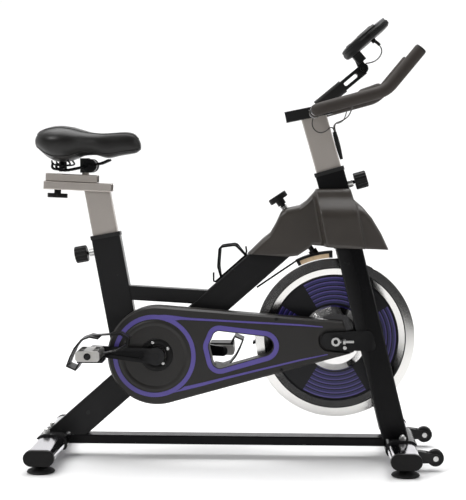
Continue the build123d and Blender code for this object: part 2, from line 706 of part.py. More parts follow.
def seat_knob():
    """The wing knob under the channel; its bolt reaches up into the carriage."""
    base = channel_point(KNOB_X - CHANNEL_REAR[0], 0)
    under = -CHANNEL_SECTION[0] / 2 - 0.5
    shape = rod(xz(along(base, channel_up, -30)), xz(along(base, channel_up, 18)), 4)
    shape += rod(xz(along(base, channel_up, under - 11)), xz(along(base, channel_up, under)), 9.5)
    wing_top = along(base, channel_up, under - 10)
    wing = hull([(0, 0, 11), (-23, 0, 5), (23, 0, 5)])
    plane = Plane(origin=xz(wing_top), x_dir=(1, 0, -0.045), z_dir=xz(along((0, 0), channel_up + 180, 1)))
    return shape + extrude(plane * wing, amount=12)


def saddle_clamp():
    block_shape = block((-436, -13, 792), (-412, 13, 832)) + disc(SADDLE_PIVOT, 15, -13, 13)
    block_shape -= disc(SADDLE_PIVOT, 4 + RUN, -20, 20)
    return block_shape - rod((-423, 0, 780), (-423, 0, 812), 10)


def saddle_rails():
    """The saddle's wire rails, serrated clamp discs, cross bolt and rear bumper."""
    shape = rod(xz(SADDLE_PIVOT, -30), xz(SADDLE_PIVOT, 30), 4)
    for side in (-1, 1):
        low, high = sorted((side * 13.6, side * 26))
        shape += disc(SADDLE_PIVOT, 19, low, high)
        points = [(-354, 16 * side, 827.5), (-376, 20 * side, 818), (-408, 22 * side, 811),
                  (-476, 24 * side, 798), (-512, 30 * side, 804), (-508, 34 * side, 819.5)]
        shape += wire(points, [40, 60, 14, 7], 3.5)
    bumper = rod((-486, 0, 795), (-486, 0, 822), 11)
    bridge = rod((-484, -30, 801), (-484, 30, 801), 5.5)
    return shape + bumper + bridge


SADDLE_TOP = [(-556, 874), (-549, 900), (-535, 913), (-507, 921), (-479, 923), (-458, 920), (-436, 913),
              (-412, 906), (-380, 903), (-312, 903), (-291, 899), (-277, 889), (-269, 873), (-268, 862)]
SADDLE_UNDER = [(-274, 849), (-281, 845), (-324, 839), (-354, 831), (-372, 832), (-386, 841), (-429, 839),
                (-449, 829), (-474, 823), (-505, 824), (-527, 839), (-540, 853)]


def saddle():
    side = slab(polygon(SADDLE_TOP + SADDLE_UNDER), -150, 150)
    plan = make_hull([edge for x, y, r in ((-490, 40, 58), (-490, -40, 58), (-296, 0, 28))
                      for edge in (Pos(x, y) * Circle(r)).edges()])
    waist = Pos(-355, 92) * Circle(58) + Pos(-355, -92) * Circle(58)
    plan = extrude(Plane.XY.offset(700) * (plan - waist), amount=400)
    return side & plan


# ------------------------------------------------------------------ handlebar
BAR_RADIUS = 16.0
BAR_POINTS = [(481, -200, 1114), (392, -200, 1006), (211, -200, 957), (211, 200, 957), (392, 200, 1006),
              (481, 200, 1114)]
MOUNT_START = (131.0, 943.0)     # rear end of the square mount tube
MOUNT_ANGLE = 11.3
MOUNT_SECTION = (30.0, 40.0, 2.5)
BOOM_LOWER = (220.0, 972.0)
BOOM_ANGLE = 39.5
CONSOLE_PIVOT = (342.0, 1076.0)
CONSOLE_ANGLE = 40.9
CONSOLE_CENTRE = (349.0, 1155.0)
CONSOLE_RADIUS = 76.0
CONSOLE_DOME = 23.0               # height of the domed front above the middle of the shell
DOME_SPHERE = 200.0


def handlebar_post():
    start = along(HEAD_TUBE_TOP, head_up, -150)
    post = bar(start, head_up, 400, POST)
    post -= beyond(along(MOUNT_START, MOUNT_ANGLE - 90, MOUNT_SECTION[0] / 2), MOUNT_ANGLE + 90)
    for step in range(6):
        hole = along(HANDLEBAR_PIN[0], head_up, -100 + 25 * step)
        post -= rod(xz(hole), xz(along(hole, HANDLEBAR_PIN[1], -15)), PIN_RADIUS + 0.5)
    return post - rod((211, -60, 957), (211, 60, 957), BAR_RADIUS)


def bar_mount():
    tube = bar(MOUNT_START, MOUNT_ANGLE, 128, MOUNT_SECTION, corner=2.5)
    plug = bar(MOUNT_START, MOUNT_ANGLE, 6, (26, 36, 0), corner=2)
    return (tube + plug) - rod((211, -60, 957), (211, 60, 957), BAR_RADIUS)


def handlebar():
    bent = wire(BAR_POINTS, [70, 32, 32, 70], BAR_RADIUS)
    cross = wire([(332, -188, 990), (358, -120, 1021), (358, 120, 1021), (332, 188, 990)], [30, 30], 11)
    return bent + cross


def console_boom():
    """The upright arm: a thick sleeve below and a slotted bracket above."""
    sleeve = bar(BOOM_LOWER, BOOM_ANGLE, 88, (36, 34, 0), corner=9)
    start = along(BOOM_LOWER, BOOM_ANGLE, 86)
    arm = bar(start, BOOM_ANGLE, 74, (29, 26, 0), corner=3) + disc(CONSOLE_PIVOT, 14.5, -13, 13)
    slot = hull([(*along(start, BOOM_ANGLE, 12), 5.5), (*along(start, BOOM_ANGLE, 46), 5.5)])
    arm -= slab(slot, -50, 50)
    arm -= disc(CONSOLE_PIVOT, 19, -6.4, 6.4)
    arm -= disc(CONSOLE_PIVOT, 4, -30, 30)
    boom = sleeve + arm
    boom += disc(CONSOLE_PIVOT, 4 - RUN, -22, 22)
    for side in (-1, 1):
        low, high = sorted((side * 13, side * 21))
        boom += disc(CONSOLE_PIVOT, 8, low, high)
    boom -= rod((211, -60, 957), (211, 60, 957), BAR_RADIUS)
    boom -= bar(MOUNT_START, MOUNT_ANGLE, 128, (30, 40, 0), corner=2.5)
    return boom.solids().sort_by(SortBy.VOLUME)[-1]


def face_plane(above):
    """A plane parallel to the console's face; local x runs up the face."""
    origin = along(CONSOLE_CENTRE, CONSOLE_ANGLE + 90, above)
    turn = math.radians(CONSOLE_ANGLE)
    return Plane(origin=xz(origin), x_dir=(math.cos(turn), 0, math.sin(turn)),
                 z_dir=(-math.sin(turn), 0, math.cos(turn)))


def console_bracket():
    """The block between the boom and the console, with the tongue of the tilt hinge."""
    block_shape = extrude(face_plane(-40) * Pos(-46, 0) * RectangleRounded(26, 34, 4), amount=27)
    tongue = slab(hull([(*CONSOLE_PIVOT, 11), (*along(CONSOLE_PIVOT, 118, 30), 9)]), -6, 6)
    tongue -= disc(CONSOLE_PIVOT, 4, -10, 10)
    return (block_shape + tongue) - extrude(face_plane(-13) * Circle(90), amount=40)


def console():
    """The meter: a round shell with a domed front, a lower brim at the top and a socket behind."""
    body = extrude(face_plane(-13) * Circle(CONSOLE_RADIUS), amount=22)
    body = fillet(body.faces().sort_by(Axis.Z)[0].edges() + body.faces().sort_by(Axis.Z)[-1].edges(), 6)
    dome = face_plane(CONSOLE_DOME - DOME_SPHERE) * Sphere(DOME_SPHERE)
    dome &= extrude(face_plane(8) * Circle(72), amount=20)
    dome -= extrude(face_plane(9) * Pos(148, 0) * Rectangle(200, 200), amount=20)
    dome -= extrude(face_plane(18.5) * Pos(8, 0) * RectangleRounded(48, 66, 6), amount=20)
    socket = extrude(face_plane(-22) * Pos(14, 0) * RectangleRounded(14, 12, 3), amount=10)
    pocket = extrude(face_plane(13) * Pos(-46, 0) * Circle(8.3), amount=20)
    return (body + dome + socket) - pocket


def console_button():
    button = extrude(face_plane(14.6) * Pos(-46, 0) * Circle(8), amount=5.4)
    rims = button.edges().filter_by(GeomType.CIRCLE)
    return fillet(rims.sort_by(Axis.Z)[-1:], 1)


# ------------------------------------------------------------------ wheels, feet
def transport_wheel(side):
    y = side * TRANSPORT_WHEEL_Y
    wheel = disc(TRANSPORT_WHEEL, TRANSPORT_WHEEL_RADIUS, y - 9, y + 9, bore=4)
    return chamfer(wheel.edges().filter_by(GeomType.CIRCLE).group_by(SortBy.RADIUS)[-1], 2)


def foot(x, y):
    profile = [(0, 0), (35, 0), (FOOT_RADIUS, 2.5), (FOOT_RADIUS - 2, 6), (20, 14), (12, 19), (5, 19),
               (5, 36), (0, 36)]
    face = make_face(Polyline(*[Vector(x + r, y, z) for r, z in profile], close=True))
    return revolve(face, axis=Axis((x, y, 0), (0, 0, 1)))


# ------------------------------------------------------------------ cables
CABLE_RADIUS = 1.6
SLEEVE_TOP = Vector(265.2, 0, 904.0)
SLEEVE_BOTTOM = Vector(285.5, 0, 829.0)

LOOP_CABLE = [(265.2, -3, 904.1), (262.2, -3.6, 914.6), (254, -20, 917), (241, -34, 904), (223, -37, 900),
              (209, -36, 909), (202, -33, 925), (206, -30, 941.0)]
RIGHT_CABLE = [(268.2, 0, 905), (264.9, -1, 917), (268, -32, 928), (276, -78, 929), (288, -128, 934),
               (300, -174, 944), (306, -196, 965.4)]
LEFT_CABLE = [(265.2, 3, 904.1), (262.0, 3.4, 916), (268, 34, 928), (276, 80, 929), (288, 128, 934),
              (300, 174, 944), (306, 196, 965.4)]
CONSOLE_LEAD = [(349.5, -6, 1090), (364, -8, 1091), (382, -8, 1100), (393, -6, 1117), (392, -3, 1134),
                (380, 0, 1146.5)]


def cable_sleeve():
    """The tapered rubber sleeve on the front of the handlebar post, where the cables come out."""
    plane = Plane(origin=SLEEVE_BOTTOM, z_dir=(SLEEVE_TOP - SLEEVE_BOTTOM).normalized())
    length = (SLEEVE_TOP - SLEEVE_BOTTOM).length
    return loft([plane * Circle(4.0), plane.offset(length * 0.8) * Circle(6.3),
                 plane.offset(length) * Circle(5.4)])


# ------------------------------------------------------------------ assembly
add("main_beam", main_beam())
add("seat_tube", seat_tube())
add("top_tube", top_tube())
add("head_tube", head_tube())
right_leg = fork_leg()
add("fork_legs", Compound(children=[right_leg, mirror(right_leg, about=Plane.XZ)]))
add("base_beam", base_beam())
add("rear_stabilizer", stabilizer(REAR_STABILIZER_X))
add("front_stabilizer", stabilizer(FRONT_STABILIZER_X))
add("plastic_caps", Compound(children=[*plastic_caps().solids(), *wheel_brackets().solids()]))
add("frame_bolts", Compound(children=[*frame_bolts().solids(), *belt_tensioners().solids()]))
add("bottom_bracket", bottom_bracket())
add("guard_outer", guard_outer())
add("guard_inner", guard_inner())
add("shroud", shroud())
add("shroud_rear", shroud_rear())
add("bottle_cage", bottle_cage())
add("flywheel_axle", flywheel_axle())
add("drive_belt", drive_belt())
add("bushes", bushes())
add("springs", springs())

add("crank_axle", crank_axle())
add("crank_pulley", crank_pulley())
add("crank_arm_right", crank_arm())
add("crank_arm_left", half_turn(crank_arm()))
add("pedal_right", pedal())
add("pedal_left", half_turn(pedal()))
add("toe_cage_right", toe_cage())
add("toe_cage_left", half_turn(toe_cage()))
add("flywheel", flywheel())
add("flywheel_hub", flywheel_hub())
add("flywheel_pulley", flywheel_pulley())

add("seat_post", seat_post())
add("seat_channel", seat_channel())
add("seat_slider", seat_slider())
add("saddle_clamp", saddle_clamp())
add("saddle_rails", saddle_rails())
add("saddle", saddle())
add("seat_knob", seat_knob())
add("seat_pin", pull_pin(SEAT_PIN))
add("handlebar_pin", pull_pin(HANDLEBAR_PIN))
add("brake_rod", brake_rod())
add("brake_pad", brake_pad())

add("handlebar_post", handlebar_post())
add("bar_mount", bar_mount())
add("handlebar", handlebar())
add("console_boom", console_boom())
add("console_bracket", console_bracket())
add("console", console())
add("console_button", console_button())
add("cable_sleeve", cable_sleeve())
add("loop_cable", cord("loop_cable", LOOP_CABLE, CABLE_RADIUS))
add("sensor_cable_right", cord("sensor_cable_right", RIGHT_CABLE, CABLE_RADIUS))
add("sensor_cable_left", cord("sensor_cable_left", LEFT_CABLE, CABLE_RADIUS))
add("console_lead", cord("console_lead", CONSOLE_LEAD, CABLE_RADIUS))

add("wheel_right", transport_wheel(-1))
add("wheel_left", transport_wheel(1))
for end, x in (("rear", REAR_STABILIZER_X), ("front", FRONT_STABILIZER_X)):
    for side, y in (("right", -FOOT_Y), ("left", FOOT_Y)):
        add(f"foot_{end}_{side}", foot(x, y))

os.makedirs("parts", exist_ok=True)
for name, shape in PARTS.items():
    export_step(shape, f"parts/{name}.step")
print(len(PARTS), "parts")
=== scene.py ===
import json
import math

import bmesh
import bpy
from mathutils import Matrix, Vector


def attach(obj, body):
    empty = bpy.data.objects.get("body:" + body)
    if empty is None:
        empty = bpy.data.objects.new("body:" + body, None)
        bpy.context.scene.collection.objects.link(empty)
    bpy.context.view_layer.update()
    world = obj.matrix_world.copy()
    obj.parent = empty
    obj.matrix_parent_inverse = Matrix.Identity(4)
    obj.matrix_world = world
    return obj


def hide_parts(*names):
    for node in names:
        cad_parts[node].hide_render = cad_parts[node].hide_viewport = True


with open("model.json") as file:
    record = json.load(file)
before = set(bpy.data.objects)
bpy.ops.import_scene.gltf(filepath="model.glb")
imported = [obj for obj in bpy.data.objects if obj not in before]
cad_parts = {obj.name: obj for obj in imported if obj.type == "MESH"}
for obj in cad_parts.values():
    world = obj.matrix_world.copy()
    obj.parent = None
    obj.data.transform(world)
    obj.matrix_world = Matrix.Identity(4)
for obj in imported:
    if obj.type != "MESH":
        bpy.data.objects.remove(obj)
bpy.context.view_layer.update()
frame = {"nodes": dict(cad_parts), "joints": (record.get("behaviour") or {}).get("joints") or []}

MM = 0.001
JOINTS = {joint["name"]: joint for joint in frame["joints"]}
WHEEL = Vector(JOINTS["flywheel_spin"]["pos_m"])
RIGHT_PEDAL = Vector(JOINTS["right_pedal_spin"]["pos_m"])
LEFT_PEDAL = Vector(JOINTS["left_pedal_spin"]["pos_m"])
NODES = frame["nodes"]


# ------------------------------------------------------------------ materials
def input_socket(shader, name, value):
    shader.inputs[name].default_value = value


def material(name, color, rough=0.5, metal=0.0, grain=0.0, grain_scale=900.0, mottle=0.12,
             mottle_scale=30.0, rough_spread=0.08, coat=0.0, sheen=0.0, scratches=0.0, edge_lift=0.0, shine=0.5):
    """A surface with uneven colour and roughness, a fine grain, and optional scratches and a lighter colour
    on convex edges.
    """
    mat = bpy.data.materials.new(name)
    mat.use_nodes = True
    nodes, links = mat.node_tree.nodes, mat.node_tree.links
    shader = nodes["Principled BSDF"]
    input_socket(shader, "Metallic", metal)
    input_socket(shader, "Specular IOR Level", shine)
    input_socket(shader, "Coat Weight", coat)
    input_socket(shader, "Coat Roughness", 0.25)
    input_socket(shader, "Sheen Weight", sheen)
    place = nodes.new("ShaderNodeTexCoord")
    blotch = nodes.new("ShaderNodeTexNoise")
    blotch.inputs["Scale"].default_value = mottle_scale
    blotch.inputs["Detail"].default_value = 5.0
    links.new(place.outputs["Object"], blotch.inputs["Vector"])
    ramp = nodes.new("ShaderNodeMix")
    ramp.data_type = "RGBA"
    darker = [channel * (1 - mottle) for channel in color]
    lighter = [min(1.0, channel * (1 + mottle)) for channel in color]
    ramp.inputs["A"].default_value = (*darker, 1)
    ramp.inputs["B"].default_value = (*lighter, 1)
    links.new(blotch.outputs["Fac"], ramp.inputs["Factor"])
    tone = ramp.outputs["Result"]
    # Lightens the colour on convex edges, found from pointiness, towards a paler tone of the same colour.
    if edge_lift:
        geometry = nodes.new("ShaderNodeNewGeometry")
        edge = nodes.new("ShaderNodeMapRange")
        edge.inputs["From Min"].default_value = 0.52
        edge.inputs["From Max"].default_value = 0.62
        links.new(geometry.outputs["Pointiness"], edge.inputs["Value"])
        amount = nodes.new("ShaderNodeMath")
        amount.operation = "MULTIPLY"
        amount.inputs[1].default_value = edge_lift
        links.new(edge.outputs["Result"], amount.inputs[0])
        lifted_edge = nodes.new("ShaderNodeMix")
        lifted_edge.data_type = "RGBA"
        lifted_edge.inputs["B"].default_value = (*[min(1.0, 0.10 + c * 2.2) for c in color], 1)
        links.new(amount.outputs["Value"], lifted_edge.inputs["Factor"])
        links.new(tone, lifted_edge.inputs["A"])
        tone = lifted_edge.outputs["Result"]
    links.new(tone, shader.inputs["Base Color"])
    gloss = nodes.new("ShaderNodeMapRange")
    gloss.inputs["To Min"].default_value = max(0.02, rough - rough_spread)
    gloss.inputs["To Max"].default_value = min(1.0, rough + rough_spread)
    links.new(blotch.outputs["Fac"], gloss.inputs["Value"])
    links.new(gloss.outputs["Result"], shader.inputs["Roughness"])
    height = None
    if grain:
        speck = nodes.new("ShaderNodeTexNoise")
        speck.inputs["Scale"].default_value = grain_scale
        speck.inputs["Detail"].default_value = 3.0
        links.new(place.outputs["Object"], speck.inputs["Vector"])
        bump = nodes.new("ShaderNodeBump")
        bump.inputs["Strength"].default_value = grain
        bump.inputs["Distance"].default_value = 0.0004
        links.new(speck.outputs["Fac"], bump.inputs["Height"])
        height = bump.outputs["Normal"]
    if scratches:
        stretch = nodes.new("ShaderNodeMapping")
        stretch.inputs["Scale"].default_value = (40, 4000, 40)
        links.new(place.outputs["Object"], stretch.inputs["Vector"])
        lines = nodes.new("ShaderNodeTexNoise")
        lines.inputs["Scale"].default_value = 1.0
        links.new(stretch.outputs["Vector"], lines.inputs["Vector"])
        brush = nodes.new("ShaderNodeBump")
        brush.inputs["Strength"].default_value = scratches
        brush.inputs["Distance"].default_value = 0.0002
        links.new(lines.outputs["Fac"], brush.inputs["Height"])
        if height:
            links.new(height, brush.inputs["Normal"])
        height = brush.outputs["Normal"]
    if height:
        links.new(height, shader.inputs["Normal"])
    return mat


def turned_metal(name, color, rough, centre):
    """Bright metal with the fine rings that a lathe leaves round an axis across the bike."""
    mat = material(name, color, rough=rough, metal=1.0, mottle=0.05, rough_spread=0.04)
    nodes, links = mat.node_tree.nodes, mat.node_tree.links
    place = nodes.new("ShaderNodeTexCoord")
    shift = nodes.new("ShaderNodeVectorMath")
    shift.operation = "SUBTRACT"
    shift.inputs[1].default_value = centre
    links.new(place.outputs["Object"], shift.inputs[0])
    flat = nodes.new("ShaderNodeVectorMath")
    flat.operation = "MULTIPLY"
    flat.inputs[1].default_value = (1, 0, 1)
    links.new(shift.outputs["Vector"], flat.inputs[0])
    reach = nodes.new("ShaderNodeVectorMath")
    reach.operation = "LENGTH"
    links.new(flat.outputs["Vector"], reach.inputs[0])
    rings = nodes.new("ShaderNodeTexNoise")
    rings.noise_dimensions = "1D"
    rings.inputs["Scale"].default_value = 1500.0
    links.new(reach.outputs["Value"], rings.inputs["W"])
    bump = nodes.new("ShaderNodeBump")
    bump.inputs["Strength"].default_value = 0.18
    bump.inputs["Distance"].default_value = 0.0002
    links.new(rings.outputs["Fac"], bump.inputs["Height"])
    links.new(bump.outputs["Normal"], nodes["Principled BSDF"].inputs["Normal"])
    return mat


POWDER = material("powder_black", (0.0022, 0.0022, 0.0026), rough=0.24, grain=0.16,
                  grain_scale=700, edge_lift=0.15, shine=0.12)
SILVER = material("silver_paint", (0.47, 0.43, 0.395), rough=0.36, metal=0.55, grain=0.12, grain_scale=1800,
                  mottle=0.06, mottle_scale=700, coat=0.35)
CHROME = material("bright_chrome", (0.56, 0.55, 0.58), rough=0.13, metal=1.0, mottle=0.04, scratches=0.05)
STEEL = material("zinc_steel", (0.56, 0.56, 0.55), rough=0.28, metal=1.0, mottle=0.1, scratches=0.1)
GUARD = material("guard_plastic", (0.019, 0.0175, 0.0165), rough=0.38, grain=0.35,
                 grain_scale=1300, coat=0.03, shine=0.3)
# Lighter and browner than the guard plastic: the added lightness is a painted highlight for the light on the
# cover's upper slope.
PAINTED_HIGHLIGHT_COVER = material("cover_plastic_painted_highlight", (0.040, 0.034, 0.029), rough=0.36, grain=0.35, grain_scale=1300, coat=0.08,
                 shine=0.45)
PLASTIC = material("black_plastic", (0.0045, 0.0043, 0.0043), rough=0.4, grain=0.3,
                   grain_scale=1500, edge_lift=0.15, shine=0.18)
RUBBER = material("rubber", (0.009, 0.009, 0.009), rough=0.6, grain=0.5, grain_scale=1000, shine=0.25)
PURPLE = material("purple_trim", (0.085, 0.062, 0.29), rough=0.42, grain=0.1, mottle=0.08, coat=0.1)
NAVY = material("navy_print", (0.014, 0.012, 0.10), rough=0.36, mottle=0.1, coat=0.1)
FELT = material("felt", (0.74, 0.55, 0.35), rough=0.95, grain=1.0, grain_scale=450, mottle=0.25,
                mottle_scale=160, sheen=0.4)
FOAM = material("grip_foam", (0.030, 0.0235, 0.0195), rough=0.66, grain=0.9, grain_scale=650, mottle=0.2,
                mottle_scale=120, shine=0.35)
VINYL = material("saddle_vinyl", (0.010, 0.0095, 0.009), rough=0.40, grain=0.55, grain_scale=420, mottle=0.15,
                 coat=0.08, shine=0.3)
BELT = material("belt_rubber", (0.02, 0.02, 0.02), rough=0.7, grain=0.6, grain_scale=500)
ALUMINIUM = material("cast_aluminium", (0.50, 0.49, 0.47), rough=0.36, metal=0.9, grain=0.4, grain_scale=600)
IRON = material("flywheel_black", (0.008, 0.008, 0.010), rough=0.34, grain=0.15, grain_scale=500, shine=0.25)
GLOSS = material("gloss_plastic", (0.02, 0.02, 0.02), rough=0.16, mottle=0.1, coat=0.4)
GREY_PLASTIC = material("grey_plastic", (0.15, 0.15, 0.155), rough=0.4, grain=0.2, grain_scale=1400,
                        shine=0.3)
SCREEN = material("display", (0.055, 0.062, 0.056), rough=0.12, mottle=0.04, coat=0.6)
SHEATH = material("cable_sheath", (0.03, 0.026, 0.024), rough=0.5, grain=0.3)
RIM = turned_metal("turned_rim", (0.74, 0.73, 0.71), 0.17, WHEEL)
DISH = turned_metal("turned_dish", (0.76, 0.75, 0.74), 0.12, WHEEL)

NODE_LOOKS = {
    POWDER: ["main_beam", "seat_tube", "top_tube", "head_tube", "fork_legs", "base_beam", "bar_mount",
             "bottle_cage", "bottom_bracket", "crank_arm_right", "crank_arm_left", "crank_axle",
             "flywheel_axle", "saddle_rails"],
    CHROME: ["rear_stabilizer", "front_stabilizer"],
    PLASTIC: ["plastic_caps", "console_boom", "console_bracket", "saddle_clamp", "seat_knob",
              "toe_cage_right", "toe_cage_left", "handlebar_pin", "seat_pin", "brake_rod", "brake_pad",
              "console_button"],
    STEEL: ["frame_bolts", "bushes", "springs"],
    GUARD: ["guard_outer", "guard_inner"],
    BELT: ["drive_belt"],
    ALUMINIUM: ["crank_pulley", "flywheel_pulley", "pedal_right", "pedal_left"],
    IRON: ["flywheel"],
    DISH: ["flywheel_hub"],
    SILVER: ["seat_post", "seat_channel", "seat_slider", "handlebar_post"],
    VINYL: ["saddle"],
    FOAM: ["handlebar"],
    GLOSS: ["console"],
    RUBBER: ["cable_sleeve", "foot_rear_right", "foot_rear_left", "foot_front_right", "foot_front_left",
             "wheel_right", "wheel_left"],
    SHEATH: ["loop_cable", "sensor_cable_right", "sensor_cable_left", "console_lead"],
}


def dress_node(node, mat):
    """A CAD part gets its material."""
    materials = NODES[node].data.materials
    materials.clear()
    materials.append(mat)


# ------------------------------------------------------------------ mesh helpers
def finish_mesh(name, verts, faces, mat, body, bevel=0.0, levels=0, sharp=35.0):
    mesh = bpy.data.meshes.new(name)
    mesh.from_pydata([tuple(v) for v in verts], [], faces)
    mesh.validate()
    work = bmesh.new()
    work.from_mesh(mesh)
    bmesh.ops.remove_doubles(work, verts=work.verts, dist=1e-6)
    bmesh.ops.recalc_face_normals(work, faces=work.faces)
    work.to_mesh(mesh)
    work.free()
    return dress_mesh(mesh, name, mat, body, bevel, levels, sharp)


def dress_mesh(mesh, name, mat, body, bevel=0.0, levels=0, sharp=35.0):
    piece = bpy.data.objects.new(name, mesh)
    bpy.context.scene.collection.objects.link(piece)
    mesh.materials.append(mat)
    if bevel:
        rounding = piece.modifiers.new("edge", "BEVEL")
        rounding.width = bevel
        rounding.segments = 3
        rounding.limit_method = "ANGLE"
        rounding.angle_limit = math.radians(30)
    if levels:
        smooth = piece.modifiers.new("smooth", "SUBSURF")
        smooth.levels = levels
        smooth.render_levels = levels
    mesh.shade_smooth()
    mesh.set_sharp_from_angle(angle=math.radians(sharp))
    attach(piece, body)
    return piece


def lathe(name, profile, centre, mat, body, steps=96, bevel=0.0, sharp=30.0):
    """A solid turned about an axis across the bike; its closed profile is (radius, y) in millimetres."""
    verts, faces = [], []
    count = len(profile)
    for step in range(steps):
        turn = 2 * math.pi * step / steps
        for radius, y in profile:
            verts.append((centre[0] + radius * MM * math.sin(turn), y * MM,
                          centre[2] + radius * MM * math.cos(turn)))
    for step in range(steps):
        after = (step + 1) % steps
        for i in range(count):
            j = (i + 1) % count
            faces.append((step * count + i, after * count + i, after * count + j, step * count + j))
    return finish_mesh(name, verts, faces, mat, body, bevel=bevel, sharp=sharp)


def prism(name, outline, low, high, mat, body, slot, bevel=0.0, holes=()):
    """A side-plane outline, in metres, given thickness across the bike; holes are inner outlines."""
    curve = bpy.data.curves.new(name, "CURVE")
    curve.dimensions = "2D"
    curve.fill_mode = "BOTH"
    for loop in [outline, *holes]:
        spline = curve.splines.new("POLY")
        spline.points.add(len(loop) - 1)
        for point, (x, z) in zip(spline.points, loop):
            point.co = (x, z, 0, 1)
        spline.use_cyclic_u = True
    curve.extrude = (high - low) / 2
    holder = bpy.data.objects.new(name + "_outline", curve)
    bpy.context.scene.collection.objects.link(holder)
    bpy.context.view_layer.update()
    mesh = bpy.data.meshes.new_from_object(holder.evaluated_get(bpy.context.evaluated_depsgraph_get()))
    bpy.data.objects.remove(holder)
    mesh.transform(Matrix.Translation((0, (low + high) / 2, 0)) @ Matrix.Rotation(math.pi / 2, 4, "X"))
    work = bmesh.new()
    work.from_mesh(mesh)
    bmesh.ops.remove_doubles(work, verts=work.verts, dist=1e-6)
    bmesh.ops.dissolve_limit(work, angle_limit=0.001, verts=work.verts, edges=work.edges)
    bmesh.ops.recalc_face_normals(work, faces=work.faces)
    work.to_mesh(mesh)
    work.free()
    mesh.name = name
    mesh.materials.clear()
    return dress_mesh(mesh, name, mat, body, bevel)


def circle_points(x, z, radius, count=40):
    return [(x + radius * math.cos(2 * math.pi * i / count), z + radius * math.sin(2 * math.pi * i / count))
            for i in range(count)]


def hull(circles, grow=0.0, count=72):
    """The convex outline round circles given as (x, z, radius) in millimetres, in metres."""
    points = sorted(p for x, z, r in circles for p in circle_points(x * MM, z * MM, (r + grow) * MM, count))

    def chain(ordered):
        kept = []
        for p in ordered:
            while len(kept) > 1:
                (ax, az), (bx, bz) = kept[-2], kept[-1]
                if (bx - ax) * (p[1] - az) - (bz - az) * (p[0] - ax) > 1e-12:
                    break
                kept.pop()
            kept.append(p)
        return kept

    return chain(points)[:-1] + chain(points[::-1])[:-1]


def tube(name, points, radius, mat, body, smooth=True):
    """A round bar along a smooth line through points, in metres."""
    curve = bpy.data.curves.new(name, "CURVE")
    curve.dimensions = "3D"
    curve.bevel_depth = radius
    curve.bevel_resolution = 6
    curve.use_fill_caps = True
    curve.resolution_u = 12
    spline = curve.splines.new("NURBS" if smooth else "POLY")
    spline.points.add(len(points) - 1)
    for point, co in zip(spline.points, points):
        point.co = (*co, 1)
    if smooth:
        spline.order_u = 3
        spline.use_endpoint_u = True
    piece = bpy.data.objects.new(name, curve)
    bpy.context.scene.collection.objects.link(piece)
    curve.materials.append(mat)
    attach(piece, body)
    return piece


# ------------------------------------------------------------------ camera, light, floor
CAMERA_PLACE = Vector((0.152, -3.6, 0.827))
CAMERA_TILT = math.atan(90 / 1303)
CAMERA_PAN = math.atan(60 * math.cos(CAMERA_TILT) / 1303)


def make_camera():
    data = bpy.data.cameras.new("camera")
    data.sensor_width = 36
    data.lens = 36 * 1303 / 500
    camera = bpy.data.objects.new("camera", data)
    camera.location = CAMERA_PLACE
    camera.rotation_euler = (math.pi / 2 - CAMERA_TILT, 0, CAMERA_PAN)
    bpy.context.scene.collection.objects.link(camera)
    bpy.context.scene.camera = camera


def area_light(name, place, target, size, power):
    data = bpy.data.lights.new(name, "AREA")
    data.shape = "RECTANGLE"
    data.size, data.size_y = size
    data.energy = power
    light = bpy.data.objects.new(name, data)
    light.location = place
    light.rotation_euler = (Vector(target) - Vector(place)).to_track_quat("-Z", "Y").to_euler()
    bpy.context.scene.collection.objects.link(light)


def make_world():
    """White wherever the camera looks, and a dim room before the bike for the bright parts to reflect."""
    world = bpy.data.worlds.new("studio")
    bpy.context.scene.world = world
    world.use_nodes = True
    nodes, links = world.node_tree.nodes, world.node_tree.links
    place = nodes.new("ShaderNodeTexCoord")
    parts = nodes.new("ShaderNodeSeparateXYZ")
    links.new(place.outputs["Generated"], parts.inputs[0])
    depth = nodes.new("ShaderNodeMapRange")
    depth.inputs["From Min"].default_value = -0.35
    depth.inputs["From Max"].default_value = 0.25
    links.new(parts.outputs["Y"], depth.inputs["Value"])
    tone = nodes.new("ShaderNodeMix")
    tone.data_type = "RGBA"
    tone.inputs["A"].default_value = (0.05, 0.05, 0.052, 1)
    tone.inputs["B"].default_value = (1, 1, 1, 1)
    links.new(depth.outputs["Result"], tone.inputs["Factor"])
    rays = nodes.new("ShaderNodeLightPath")
    seen = nodes.new("ShaderNodeMix")
    seen.data_type = "RGBA"
    seen.inputs["B"].default_value = (1, 1, 1, 1)
    links.new(rays.outputs["Is Camera Ray"], seen.inputs["Factor"])
    links.new(tone.outputs["Result"], seen.inputs["A"])
    links.new(seen.outputs["Result"], nodes["Background"].inputs["Color"])
    nodes["Background"].inputs["Strength"].default_value = 1.0


def make_studio():
    make_world()
    sweep = [(-7.0, 0.0), (3.2, 0.0), (4.2, 0.16), (5.0, 0.7), (5.4, 1.6), (5.5, 3.0), (5.5, 7.0)]
    verts = [(x, y, z - 0.0005) for y, z in sweep for x in (-9, 9)]
    faces = [(2 * i, 2 * i + 1, 2 * i + 3, 2 * i + 2) for i in range(len(sweep) - 1)]
    mesh = bpy.data.meshes.new("floor")
    mesh.from_pydata(verts, [], faces)
    mesh.shade_smooth()
    floor = bpy.data.objects.new("floor", mesh)
    bpy.context.scene.collection.objects.link(floor)
    mesh.materials.append(material("floor_white", (0.90, 0.90, 0.90), rough=0.9, mottle=0.01))
    area_light("key_light", (-2.2, -2.6, 3.0), (0, 0, 0.6), (1.6, 1.2), 60)
    area_light("side_light", (3.0, -1.8, 1.6), (0.1, 0, 0.6), (0.6, 2.0), 16)
    area_light("top_light", (0, 0.2, 3.6), (0, 0, 0.4), (3.4, 2.4), 105)
    area_light("back_wall_light", (0, 2.2, 4.4), (0, 5.0, 0.8), (6.0, 2.0), 190)
    bpy.context.scene.view_settings.view_transform = "Standard"


